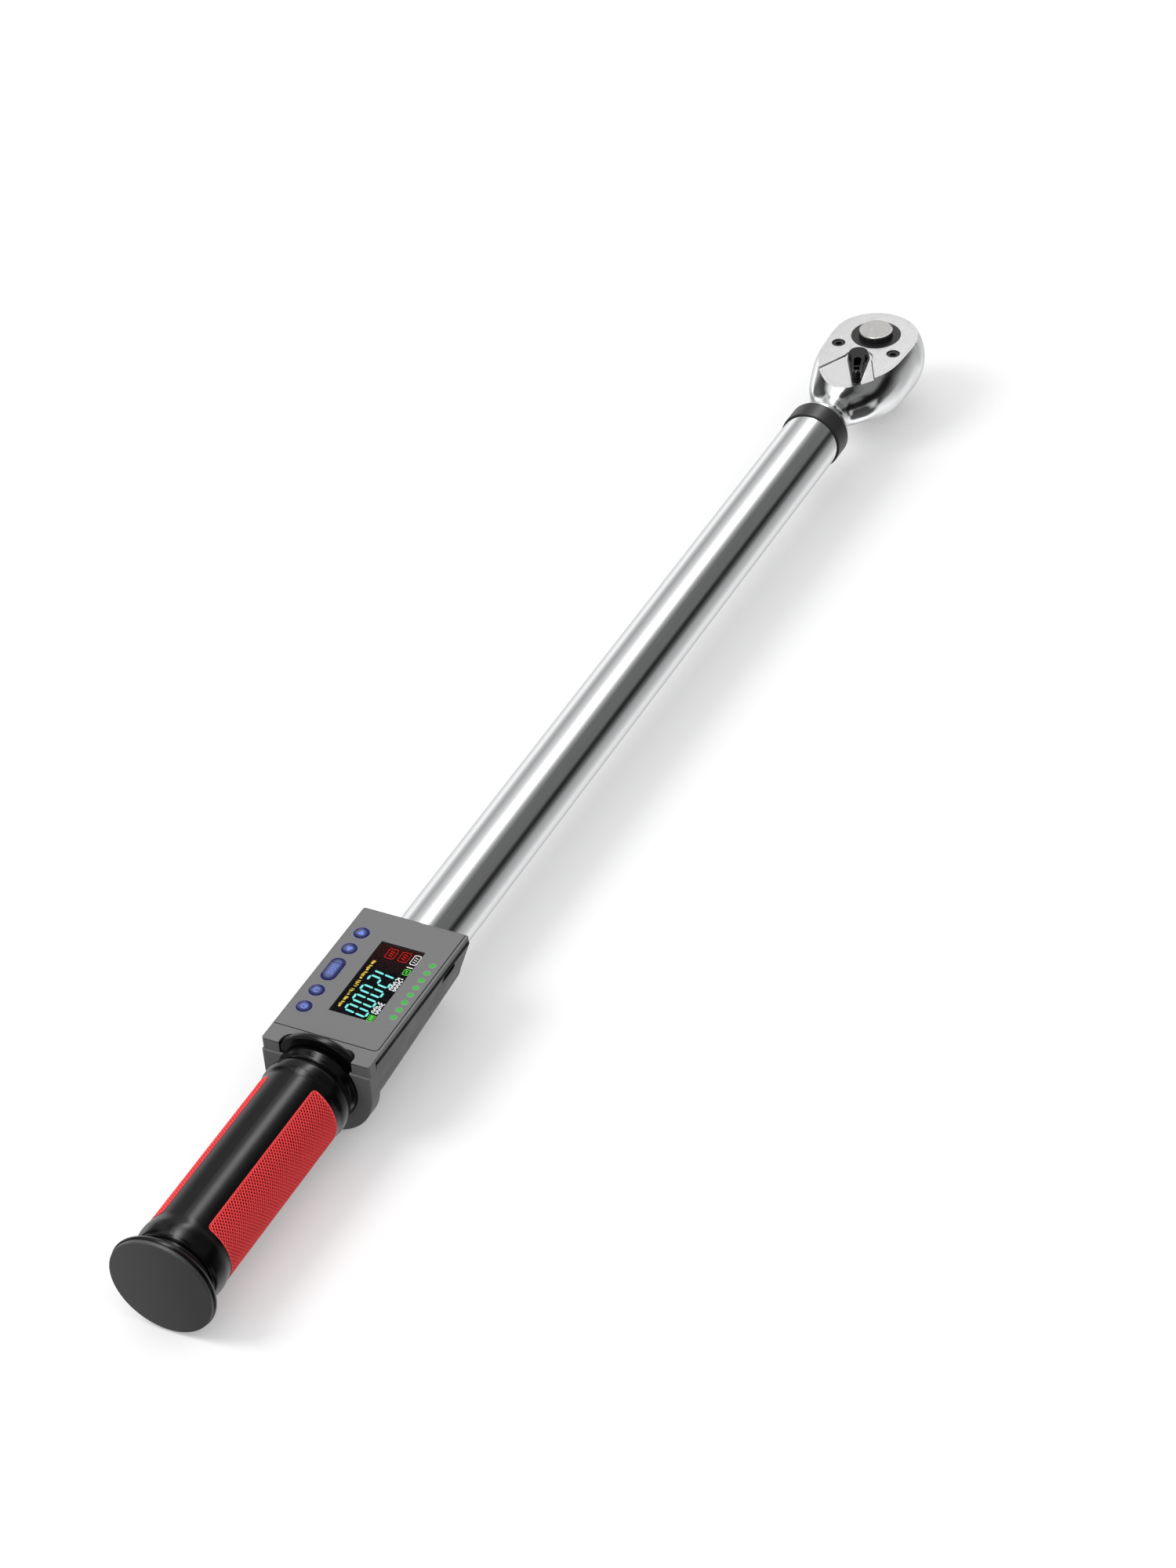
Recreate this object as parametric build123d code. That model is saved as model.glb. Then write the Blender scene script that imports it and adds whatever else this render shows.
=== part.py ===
from build123d import *
import math
import os

# A digital torque wrench with a half-inch ratchet head, in millimetres.
# The shapes are drawn about the tube's axis: X runs from the drive to the handle's end,
# +Y is the side of the level lights and +Z the side of the display.
# save() lifts them, so that the origin is on the drive's axis at the socket's shoulder.
AXIS_HEIGHT = 12.4
RUNNING_GAP = 0.08

# Ratchet head
FACE_Z = 10.8
SOLE_Z = -11.0
HEAD_R = 22.3
HEAD_X = 1.1
HEAD_SECTIONS = [  # place along X, half width, half height
    (HEAD_X, HEAD_R, HEAD_R), (9.0, 22.3, 22.3), (19.0, 21.8, 21.3), (26.6, 20.3, 19.6),
    (33.2, 18.4, 15.6), (38.0, 16.7, 13.1), (43.8, 13.3, 10.8), (47.4, 10.4, 9.3),
    (51.0, 8.3, 8.1), (56.0, 8.2, 8.2), (62.7, 8.8, 8.8),
]
PLATE_THICKNESS = 2.6
PLATE_SEAT_Z = FACE_Z - PLATE_THICKNESS
FAN_STEP = 0.6
FAN_ANGLE = 28.0
FAN_BEVEL = 0.35
SCREW_PLACES = [(11.8, -13.4), (11.8, 13.4)]

# Drive
TOOTH_COUNT = 36
TOOTH_TIP_R = 13.0
TOOTH_ROOT_R = 12.1
GEAR_TOP = 6.5
GEAR_BOTTOM = -6.9
CAVITY_FLOOR = -7.0
HUB_R = 11.27
LOWER_HUB_R = 10.4
SHOULDER_Z = -AXIS_HEIGHT
SQUARE = 12.7
SQUARE_LENGTH = 14.6
SQUARE_TIP = SHOULDER_Z - SQUARE_LENGTH
STEM_R = 3.0
BUTTON_R = 7.67
BUTTON_TOP = FACE_Z + 3.05
BUTTON_TRAVEL = 2.5
BUTTON_FOOT = 6.7
SPRING_FOOT = -4.9
SPRING_R = 4.0
BALL_R = 2.0
BALL_Z = -19.7
BALL_X = STEM_R + BALL_R + 0.05
BALL_RATIO = 0.6

# Reversing lever and pawl
LEVER_X = 20.0
LEVER_REST = 20.0
LEVER_SHAFT_R = 2.6
PAWL_X = 16.4
PAWL_REST = -4.5
PAWL_HALF_HEIGHT = 5.0
PAWL_BACK = (6.5, 10.1)  # centre along X and radius of its rounded back

# Tube
TUBE_R = 13.3
TUBE_BORE = 11.3
TUBE_START = 64.9
TUBE_END = 640.8
COLLAR = (64.75, 74.9)
WINDOW = (452.0, 521.0)
WINDOW_Z = 6.0

# Strain beam
BEAM = (78.1, 150.0)
BEAM_TAIL = 92.0
BEAM_PIN_X = 142.0
BUSH = (134.0, 150.0)
CABLE_PATH = (4.0, -8.6)  # its height and side inside the tube, as (y, z)

# Display box
BOX = (446.1, 526.5)
BOX_HALF = 22.86
BOX_TOP = 14.47
COVER_UNDER = 12.9
SHELL_TOP = 10.9
SHELL_HALF = 22.75
SHELL_END = 520.8
SHELL_WALL = 1.9
END_FACE = 527.2
SEAM_Z = 9.2
NOTCH = (520.4, -15.6, 15.3)
NOTCH_CORNER = 4.0
CLAMP_SCREWS = (466.0, 503.0)
LCD = (461.3, 503.6, -6.8, 12.0)
LCD_TOP = 13.9
PANEL = (446.7, 517.3, -22.3, 21.3)
PANEL_THICKNESS = 0.5
PANEL_CORNER = 1.8
PANEL_GROOVE = 0.4
BOARD = (454.0, 514.0, 19.0, 9.3, 10.5)
KEY_Y = -16.3
KEY_R = 3.05
KEY_TRAVEL = 0.5
KEY_FOOT = BOARD[4] + 1.2 + KEY_TRAVEL
PILL_HALF = 3.5
KEYS = {"up_key": 460.1, "down_key": 469.9, "mode_key": 482.65, "unit_key": 495.5,
        "power_key": 505.3}
LIGHT_Y = 18.0
LIGHT_R = 1.0
LIGHTS = [466.9 + 4.48 * i for i in range(8)]
PORT_X = 462.4
PORT_Z = 8.8

# Handle
NECK_RING = (521.4, 525.9, 20.5)
NECK_RING_ROUND = 2.8
HANDLE_START = 526.0
GRIP_R = 17.2
INSERT = (544.0, 622.0)
INSERT_FLOOR = 15.3
INSERT_HALF_ANGLE = 57.5
INSERT_PROUD = 0.15
INSERT_CORNER = 2.0
CAP_DISC = (641.0, 642.55, 21.06)
CELL = (560.0, 624.5, 9.1)


def save(name, shape):
    os.makedirs("parts", exist_ok=True)
    export_step(Pos(0, 0, AXIS_HEIGHT) * shape, f"parts/{name}.step")


def rod_x(radius, x0, x1, y=0.0, z=0.0):
    return Pos((x0 + x1) / 2, y, z) * Rot(0, 90, 0) * Cylinder(radius, x1 - x0)


def rod_z(radius, z0, z1, x=0.0, y=0.0):
    return Pos(x, y, (z0 + z1) / 2) * Cylinder(radius, z1 - z0)


def block(x0, x1, y0, y1, z0, z1):
    return Pos((x0 + x1) / 2, (y0 + y1) / 2, (z0 + z1) / 2) * Box(x1 - x0, y1 - y0, z1 - z0)


def prism_z(face, z0, z1):
    """A face drawn in the XY plane, raised from z0 to z1."""
    return extrude(Pos(0, 0, z0) * face, amount=z1 - z0, dir=(0, 0, 1))


def turned(*outline):
    """A solid turned about the tube's axis from an outline of (x, radius) edges."""
    return revolve(make_face(Plane.XZ * Wire(list(outline))), Axis.X)


def turn_about(x, degrees, shape):
    """Turn a shape about the vertical axis through (x, 0)."""
    return Pos(x, 0, 0) * Rot(0, 0, degrees) * Pos(-x, 0, 0) * shape


def spring_z(radius, wire, z0, z1, turns):
    height = z1 - z0 - 2 * wire
    path = Helix(height / turns, height, radius)
    section = Plane(origin=path @ 0, z_dir=path % 0) * Circle(wire)
    return Pos(0, 0, z0 + wire) * sweep(section, path=path, is_frenet=True)


def teardrop(big, small, length):
    """Two round ends, centred at 0 and at length along X, with straight sides."""
    turn = math.acos((big - small) / length)
    c, s = math.cos(turn), math.sin(turn)
    sides = Polygon((big * c, -big * s), (length + small * c, -small * s),
                    (length + small * c, small * s), (big * c, big * s), align=None)
    return Circle(big) + Pos(length, 0) * Circle(small) + sides


# ---------------------------------------------------------------- ratchet head

def head_outline(inset):
    """The face's outline: a round nose and a tapering tail, drawn in from the head's edge."""
    def half(width, height):
        return width * math.sqrt(max(0.0, 1 - (FACE_Z / height) ** 2))
    nose_r = half(HEAD_R, HEAD_R) - inset
    tail = [(x, half(w, h) - inset) for x, w, h in HEAD_SECTIONS[1:6]]
    tip = (43.6 - inset, 0)
    side = Spline([(HEAD_X, nose_r)] + tail + [tip], tangents=[(1, 0), (0, -1)])
    other = side.mirror(Plane.XZ)
    nose = ThreePointArc((HEAD_X, nose_r), (HEAD_X - nose_r, 0), (HEAD_X, -nose_r))
    return make_face([side, nose, other])


def fan():
    """The shallow recess in the face, in which the lever swings."""
    spread = 40.0
    slope = math.tan(math.radians(FAN_ANGLE))
    near = 5.9
    wedge = Polygon((LEVER_X - 0.5, -near), (LEVER_X + spread, -near - spread * slope),
                    (LEVER_X + spread, near + spread * slope), (LEVER_X - 0.5, near), align=None)
    return wedge + Pos(LEVER_X, 0) * Circle(6.2)


def fan_cut():
    """The recess as a cutter, with a small bevel along its rim."""
    bevel = extrude(Pos(0, 0, FACE_Z - FAN_BEVEL) * fan(), amount=1.0, taper=-45)
    return prism_z(fan(), FACE_Z - FAN_STEP, FACE_Z + 1) + bevel


def head_blank():
    sections = [Plane.YZ.offset(x) * Ellipse(w, h) for x, w, h in HEAD_SECTIONS]
    nose = Pos(HEAD_X, 0, 0) * Sphere(HEAD_R) & block(-30, HEAD_X, -30, 30, -30, 30)
    blank = nose + loft(sections)
    return blank & block(-30, 80, -30, 30, SOLE_Z, FACE_Z)


def head_body():
    body = head_blank()
    ring = chamfer(rod_x(13.25, 62.4, 64.7).edges().group_by(Axis.X)[0], 0.5)
    shank = rod_x(TUBE_BORE - 0.05, 64.7, BEAM_TAIL)
    body = body + ring + shank
    body -= prism_z(head_outline(1.25), PLATE_SEAT_Z, FACE_Z + 1)
    body -= rod_z(TOOTH_TIP_R + 0.4, CAVITY_FLOOR, FACE_Z)
    body -= rod_z(LOWER_HUB_R + RUNNING_GAP, SOLE_Z - 1, FACE_Z)
    body -= rod_z(PAWL_BACK[1] + 1.6, -PAWL_HALF_HEIGHT - 0.2, PLATE_SEAT_Z + 0.1, PAWL_BACK[0])
    body -= rod_z(3.7, -3.2, PLATE_SEAT_Z + 0.1, LEVER_X)
    body -= fan_cut()
    for x, y in SCREW_PLACES:
        body -= rod_z(1.55, -2, FACE_Z, x, y)
    return body - block(BEAM[0] - 0.1, BEAM_TAIL + 1, -8.05, 8.05, -6.05, 6.05)


def cover_plate():
    plate = prism_z(head_outline(1.3), PLATE_SEAT_Z, FACE_Z)
    plate -= rod_z(HUB_R + RUNNING_GAP, 0, 20)
    plate -= rod_z(LEVER_SHAFT_R + 0.07, 0, 20, LEVER_X)
    plate -= fan_cut()
    for x, y in SCREW_PLACES:
        plate -= rod_z(1.7, 0, 20, x, y)
        plate -= rod_z(3.1, FACE_Z - 1.7, 20, x, y)
    return plate


def cover_screws():
    screws = []
    for x, y in SCREW_PLACES:
        head = rod_z(2.95, FACE_Z - 1.7, FACE_Z - 0.5, x, y)
        socket = prism_z(Pos(x, y) * RegularPolygon(1.6, 6), FACE_Z - 1.5, FACE_Z)
        screws.append(head + rod_z(1.5, -1.8, FACE_Z - 1.7, x, y) - socket)
    return Compound(screws)


def thrust_washer():
    return rod_z(12.9, GEAR_TOP + 0.1, PLATE_SEAT_Z - 0.1) - rod_z(HUB_R + 0.15, 0, 20)


# ---------------------------------------------------------------- drive

def gear_face(grow=0.0):
    """The toothed outline, with a tooth on the X axis; grow fattens it for clearance."""
    points = []
    for i in range(2 * TOOTH_COUNT):
        radius = (TOOTH_TIP_R if i % 2 == 0 else TOOTH_ROOT_R) + grow
        angle = math.pi * i / TOOTH_COUNT
        points.append((radius * math.cos(angle), radius * math.sin(angle)))
    return Polygon(*points, align=None)


def drive_gear():
    gear = prism_z(gear_face(), GEAR_BOTTOM, GEAR_TOP)
    gear += rod_z(HUB_R, GEAR_TOP, FACE_Z)
    gear += rod_z(LOWER_HUB_R, SHOULDER_Z, GEAR_BOTTOM)
    square = block(-SQUARE / 2, SQUARE / 2, -SQUARE / 2, SQUARE / 2, SQUARE_TIP, SHOULDER_Z)
    square = fillet(square.edges().filter_by(Axis.Z), 0.9)
    square = chamfer(square.faces().sort_by(Axis.Z)[0].edges(), 0.8)
    gear += square
    gear -= rod_z(STEM_R + 0.07, SQUARE_TIP + 1.1, 20)
    gear -= rod_z(SPRING_R + 0.9, SPRING_FOOT - 0.1, 20)
    gear -= rod_z(BUTTON_R + RUNNING_GAP, BUTTON_FOOT - BUTTON_TRAVEL - 0.2, 20)
    gear -= rod_x(BALL_R + 0.06, 0, 6.05, 0, BALL_Z)
    return gear - rod_x(1.78, 6, 8, 0, BALL_Z)


def release_button():
    """The press disc and its stem, whose tapered neck lets the ball drop in."""
    disc = rod_z(BUTTON_R, BUTTON_FOOT, BUTTON_TOP)
    disc = fillet(disc.edges().group_by(Axis.Z)[-1], 0.4)
    stem = rod_z(STEM_R, BALL_Z - 3.5, BUTTON_FOOT)
    taper_start = BALL_Z - 0.55
    taper_end = BALL_Z + 1.95
    neck_end = BALL_Z + 4.7
    neck_r = STEM_R - BALL_RATIO * (taper_end - taper_start)
    groove = make_face(Polyline((neck_r, 0, taper_end), (neck_r, 0, neck_end), (STEM_R + 1, 0, neck_end),
                                (STEM_R + 1, 0, taper_start), (STEM_R, 0, taper_start), close=True))
    return disc + stem - revolve(groove, Axis.Z)


def release_spring():
    return spring_z(SPRING_R, 0.3, SPRING_FOOT, BUTTON_FOOT - 0.1, 6)


def detent_ball():
    return Pos(BALL_X, 0, BALL_Z) * Sphere(BALL_R)


# ---------------------------------------------------------------- pawl and lever

def pawl():
    """A crescent whose two toothed horns take turns in the gear; it rocks about PAWL_X."""
    swept = turn_about(PAWL_X, -PAWL_REST, Circle(TOOTH_TIP_R + 0.15))
    back = Pos(PAWL_BACK[0], 0) * Circle(PAWL_BACK[1])
    crescent = back - swept - mirror(swept, about=Plane.XZ)
    rim = Circle(TOOTH_TIP_R + 0.9) - Circle(TOOTH_ROOT_R + 0.07)
    arm = 30
    spread = arm * math.tan(math.radians(9))
    wedge = Polygon((0, 0), (arm, -spread), (arm, spread), align=None)
    horn = (rim & (Rot(0, 0, -30) * wedge)) - gear_face(0.07)
    horn = turn_about(PAWL_X, -PAWL_REST, horn)
    horn &= back
    face = crescent + horn + mirror(horn, about=Plane.XZ)
    return turn_about(PAWL_X, PAWL_REST, prism_z(face, -PAWL_HALF_HEIGHT, PAWL_HALF_HEIGHT))


def at_lever(shape):
    return Pos(LEVER_X, 0, 0) * Rot(0, 0, LEVER_REST) * shape


def reversing_lever():
    """A teardrop thumb lever: a flat disc over the shaft, two rails and a ball at the tip."""
    foot = FACE_Z - FAN_STEP + 0.15
    base = extrude(Pos(0, 0, foot) * teardrop(5.1, 2.3, 17.6), amount=1.5, taper=12)
    ridge = extrude(Pos(0, 0, foot + 1.5) * teardrop(3.7, 2.0, 17.0), amount=1.9, taper=14)
    disc = rod_z(4.3, foot + 1.5, foot + 3.4)
    disc = fillet(disc.edges().group_by(Axis.Z)[-1], 0.3)
    knob = Pos(17.2, 0, foot + 2.5) * Sphere(2.25)
    slot = prism_z(Pos(6.0, 0) * teardrop(1.75, 1.2, 8.6), foot + 0.9, foot + 9)
    bridge = block(9.6, 10.5, -1.7, 1.7, foot + 0.9, foot + 2.3)
    shaft = rod_z(LEVER_SHAFT_R, PLATE_SEAT_Z - 0.1, foot)
    boss = rod_z(2.9, -3, PLATE_SEAT_Z - 0.1)
    spring_bore = rod_x(1.0, -4, 1.6, 0, 2)
    return at_lever(base + ridge + disc + knob - slot + bridge + shaft + boss - spring_bore)


def pawl_plunger():
    pin = rod_x(0.92, -2.35, -0.4, 0, 2) + Pos(-2.35, 0, 2) * Sphere(0.92)
    return at_lever(pin)


def plunger_spring():
    coil = Pos(-0.35, 0, 2) * Rot(0, 90, 0) * spring_z(0.62, 0.14, 0, 1.9, 3)
    return at_lever(coil)


# ---------------------------------------------------------------- tube and sensor

def tube():
    pipe = rod_x(TUBE_R, TUBE_START, TUBE_END) - rod_x(TUBE_BORE, TUBE_START, TUBE_END)
    return pipe - block(*WINDOW, -20, 20, WINDOW_Z, 20)


def tube_collar():
    band = rod_x(14.0, *COLLAR)
    band = fillet(band.edges(), 0.5)
    return band - rod_x(TUBE_R + 0.02, COLLAR[0] - 1, COLLAR[1] + 1)


def strain_beam():
    bar = block(*BEAM, -5, 5, -6, 6) + block(BEAM[0], BEAM_TAIL, -8, 8, -6, 6)
    return bar - rod_z(2.5, -10, 10, BEAM_PIN_X)


def strain_gauges():
    pads = [block(x, x + 8, side * 5.2 - 0.15, side * 5.2 + 0.15, -3, 3)
            for side in (-1, 1) for x in (100, 112)]
    return Compound(pads)


def beam_bush():
    x0, x1 = BUSH
    bush = rod_x(TUBE_BORE - 0.05, x0, x1) - block(x0 - 1, x1 + 1, -5.05, 5.05, -6.05, 6.05)
    bush -= rod_z(2.5, -12, 12, BEAM_PIN_X)
    return bush - rod_x(1.4, x0 - 1, x1 + 1, *CABLE_PATH)


def beam_pin():
    return rod_z(2.45, -10.2, 10.2, BEAM_PIN_X)


def lead(route, bend):
    path = FilletPolyline(*route, radius=bend)
    start = Plane(origin=path @ 0, z_dir=path % 0)
    return sweep(start * Circle(1.1), path=path)


def signal_cable():
    y, z = CABLE_PATH
    return lead([(118, y, z), (449, y, z), (459, y, -2), (459, y, BOARD[3] - 0.02)], 5)


def battery_lead():
    return lead([(556.8, 0, 0), (507, 0, 0), (507, 0, BOARD[3] - 0.02)], 6)


# ---------------------------------------------------------------- display box

def shell_section(x, half, radius, top):
    """A half-round belly whose sides flare up to the cover."""
    a = math.radians(12)
    foot = (radius * math.cos(a), -radius * math.sin(a))
    belly = ThreePointArc((-foot[0], foot[1]), (0, -radius), foot)
    sides = Polyline(foot, (half, top), (-half, top), (-foot[0], foot[1]))
    return Plane.YZ.offset(x) * make_face([belly, sides])


def belly_radius(x):
    return 17.9 + 0.0405 * (x - BOX[0])


def housing_shell():
    def hollow(x0, x1, inset, top):
        ends = [shell_section(x, SHELL_HALF - inset, belly_radius(x) - inset, top) for x in (x0, x1)]
        return loft(ends, ruled=True)
    shell = hollow(BOX[0], SHELL_END, 0, SHELL_TOP)
    room = hollow(BOX[0] + 2, SHELL_END + 1, SHELL_WALL, SHELL_TOP + 1)
    ribs = [block(x, x + 1.6, -30, 30, -30, BOARD[3] - 0.02) & room for x in (455.5, 511.5)]
    boss = [rod_z(4, -25, -TUBE_R + 1, x) & room for x in CLAMP_SCREWS]
    shell = shell - room + ribs + boss
    shell -= rod_x(TUBE_R + 0.03, BOX[0] - 1, SHELL_END + 1)
    for x in CLAMP_SCREWS:
        shell -= rod_z(1.6, -30, 0, x)
        shell -= rod_z(3.1, -30, 1.6 - belly_radius(x), x)
    port = fillet(block(PORT_X - 4.85, PORT_X + 4.85, 15, 25, PORT_Z - 1.7, PORT_Z + 1.7)
                  .edges().filter_by(Axis.Y), 1.5)
    return shell - port


def clamp_screws():
    screws = []
    for x in CLAMP_SCREWS:
        head_z = 1.58 - belly_radius(x)
        head = rod_z(2.9, head_z - 1.5, head_z, x)
        slot = prism_z(Pos(x, 0) * RegularPolygon(1.4, 6), head_z - 2, head_z - 0.6)
        screws.append(head + rod_z(1.5, head_z, -TUBE_R, x) - slot)
    return Compound(screws)


def cover_openings():
    """Everything that shows through the cover: the display, the keys and the lights."""
    z0, z1 = COVER_UNDER - 1, BOX_TOP + 1
    cuts = [block(*LCD, z0, z1)]
    cuts += [rod_z(LIGHT_R, z0, z1, x, LIGHT_Y) for x in LIGHTS]
    cuts += [prism_z(key_face(name, KEY_R + 0.12, x), z0, z1) for name, x in KEYS.items()]
    return cuts


def panel_sheet(edge, groove, z0, z1):
    """The face panel's outline, grown by edge on its near sides and by groove on its far ones."""
    x0, x1, y0, y1 = PANEL
    sheet = block(x0 - edge, x1 + groove, y0 - edge, y1 + groove, z0, z1)
    corner = sheet.edges().filter_by(Axis.Z).sort_by(Axis.X)[-2:].sort_by(Axis.Y)[-1]
    return fillet(corner, PANEL_CORNER + groove)


def key_face(name, radius, x):
    if name == "mode_key":
        return Pos(x, KEY_Y) * SlotCenterToCenter(2 * PILL_HALF, 2 * radius)
    return Pos(x, KEY_Y) * Circle(radius)


def housing_cover():
    plate = block(*BOX, -BOX_HALF, BOX_HALF, COVER_UNDER, BOX_TOP)
    plate = fillet(plate.edges().filter_by(Axis.Z), 1.0)
    plate = fillet(plate.faces().sort_by(Axis.Z)[-1].edges(), 0.3)
    end_wall = block(SHELL_END + 0.2, BOX[1], -BOX_HALF, BOX_HALF, SEAM_Z + 0.05, COVER_UNDER)
    end_wall = fillet(end_wall.edges().filter_by(Axis.Z), 1.0)
    lip = block(448.3, SHELL_END - 0.3, -20.35, 20.35, SHELL_TOP - 0.3, COVER_UNDER)
    lip -= block(449.1, SHELL_END, -19.85, 19.85, 10, COVER_UNDER)
    cover = plate + end_wall + lip - rod_x(TUBE_R + 0.05, *BOX)
    notch = block(NOTCH[0], BOX[1] + 6, NOTCH[1], NOTCH[2], 5, BOX_TOP + 1)
    cover -= fillet(notch.edges().filter_by(Axis.Z).sort_by(Axis.X)[:2], NOTCH_CORNER)
    cover -= rod_x(NECK_RING[2] - NECK_RING_ROUND, SHELL_END, BOX[1])
    room = rod_x(NECK_RING[2] + 0.25, NECK_RING[0] - 0.3, NECK_RING[1] + 0.2)
    cover -= fillet(room.edges().group_by(Axis.X)[0], NECK_RING_ROUND + 0.2)
    cover -= panel_sheet(0.05, PANEL_GROOVE, BOX_TOP - PANEL_THICKNESS, BOX_TOP + 1)
    for cut in cover_openings():
        cover -= cut
    return cover


def cover_gasket():
    half = BOX_HALF - 0.02
    ring = block(BOX[0] + 0.02, SHELL_END - 0.4, -half, half, SHELL_TOP + 0.02, COVER_UNDER - 0.02)
    ring = fillet(ring.edges().filter_by(Axis.Z), 0.9)
    ring -= block(BOX[0] + 2, SHELL_END, -20.45, 20.45, 0, 20)
    return ring - rod_x(TUBE_R + 0.05, *BOX)


def face_panel():
    sheet = panel_sheet(0, 0, BOX_TOP - PANEL_THICKNESS + 0.02, BOX_TOP)
    for cut in cover_openings():
        sheet -= cut
    return sheet


def display_window():
    x0, x1, y0, y1 = LCD
    return block(x0 + 0.1, x1 - 0.1, y0 + 0.1, y1 - 0.1, LCD_TOP + 0.1, BOX_TOP - 0.03)


def lcd_module():
    frame_top = COVER_UNDER - 0.05
    glass = block(461.5, 503.4, -6.6, 11.8, frame_top, LCD_TOP)
    return block(459.4, 505.6, -9.2, 14.2, 10.65, frame_top) + glass


def circuit_board():
    x0, x1, half, z0, z1 = BOARD
    board = block(x0, x1, -half, half, z0, z1)
    return board - block(PORT_X - 4.6, PORT_X + 4.6, 13.2, half + 1, z0 - 1, z1 + 1)


def board_chips():
    places = [(474, 2, 7, 7, 1.0), (490, 8, 5, 4, 1.2), (496, -6, 6, 4, 1.4), (466, -10, 4, 3, 1.0)]
    chips = [block(x - a / 2, x + a / 2, y - b / 2, y + b / 2, BOARD[3] - t, BOARD[3] - 0.01)
             for x, y, a, b, t in places]
    return Compound(chips)


def buzzer():
    can = rod_z(4.4, WINDOW_Z + 0.2, BOARD[3] - 0.01, 483, -13)
    return can - rod_z(0.8, WINDOW_Z, WINDOW_Z + 1, 483, -13)


def key_switches():
    switches = []
    for x in KEYS.values():
        base = block(x - 1.9, x + 1.9, KEY_Y - 1.9, KEY_Y + 1.9, BOARD[4] + 0.01, BOARD[4] + 0.7)
        switches.append(base + rod_z(0.9, BOARD[4] + 0.7, BOARD[4] + 0.95, x, KEY_Y))
    return Compound(switches)


def key(name):
    """A key cap with a dished top and a flange that keeps it under the cover."""
    x = KEYS[name]
    top = BOX_TOP + 0.35
    cap = prism_z(key_face(name, KEY_R, x), KEY_FOOT, top)
    cap = fillet(cap.faces().sort_by(Axis.Z)[-1].edges(), 0.25)
    cap += prism_z(key_face(name, KEY_R + 0.25, x), KEY_FOOT, KEY_FOOT + 0.6)
    dish_r = 9.0
    dish_z = top + dish_r - 0.4
    dish = Pos(x, KEY_Y, dish_z) * Sphere(dish_r)
    if name == "mode_key":
        dish = rod_x(dish_r, x - PILL_HALF, x + PILL_HALF, KEY_Y, dish_z)
    return cap - dish


def level_lights():
    return Compound([rod_z(LIGHT_R - 0.08, BOARD[4] + 0.01, BOX_TOP - 0.03, x, LIGHT_Y) for x in LIGHTS])


def charging_port():
    mouth_y = 20.6
    outer = block(PORT_X - 4.4, PORT_X + 4.4, 13.4, mouth_y, PORT_Z - 1.5, PORT_Z + 1.5)
    outer = fillet(outer.edges().filter_by(Axis.Y), 1.4)
    inner = block(PORT_X - 4.1, PORT_X + 4.1, 14.4, mouth_y + 1, PORT_Z - 1.2, PORT_Z + 1.2)
    inner = fillet(inner.edges().filter_by(Axis.Y), 1.15)
    tongue = block(PORT_X - 3.2, PORT_X + 3.2, 14.0, mouth_y - 1, PORT_Z - 0.35, PORT_Z + 0.35)
    return outer - inner + tongue


def end_frame():
    """The half-round frame at the box's handle end, with room for the neck ring."""
    x0 = SHELL_END + 0.1
    sole = Circle(BOX_HALF) + Pos(0, SEAM_Z / 2) * Rectangle(2 * BOX_HALF, SEAM_Z)
    sole &= Pos(0, SEAM_Z - 50) * Rectangle(100, 100)
    frame = extrude(Plane.YZ.offset(x0) * sole, amount=END_FACE - x0)
    frame = fillet(frame.faces().sort_by(Axis.X)[-1].edges(), 0.5)
    frame -= rod_x(NECK_RING[2] + 0.25, x0 - 1, NECK_RING[1] + 0.15)
    return frame - rod_x(16.9, x0, END_FACE + 1)


# ---------------------------------------------------------------- handle

def neck_ring():
    x0, x1, radius = NECK_RING
    ring = rod_x(radius, x0, x1)
    ring = fillet(ring.edges().group_by(Axis.X)[0], NECK_RING_ROUND)
    ring = fillet(ring.edges().group_by(Axis.X)[-1], 0.9)
    return ring - rod_x(TUBE_R + 0.02, x0 - 1, x1 + 1)


def insert_pocket(side, gap):
    """The bed of a grip insert: a sector of the handle on the side of +Y or -Y."""
    half = math.radians(INSERT_HALF_ANGLE) - gap / GRIP_R
    far = 40
    wedge = Polygon((0, 0), (side * far * math.cos(half), far * math.sin(half)), (side * 2 * far, 0),
                    (side * far * math.cos(half), -far * math.sin(half)), align=None)
    x0, x1 = INSERT[0] + gap, INSERT[1] - gap
    sector = extrude(Plane.YZ.offset(x0) * wedge, amount=x1 - x0, dir=(1, 0, 0))
    sector -= rod_x(INSERT_FLOOR + gap, x0 - 1, x1 + 1)
    corners = sector.edges().filter_by(GeomType.LINE).sort_by(SortBy.LENGTH)[:4]
    return fillet(corners, INSERT_CORNER - gap)


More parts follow.
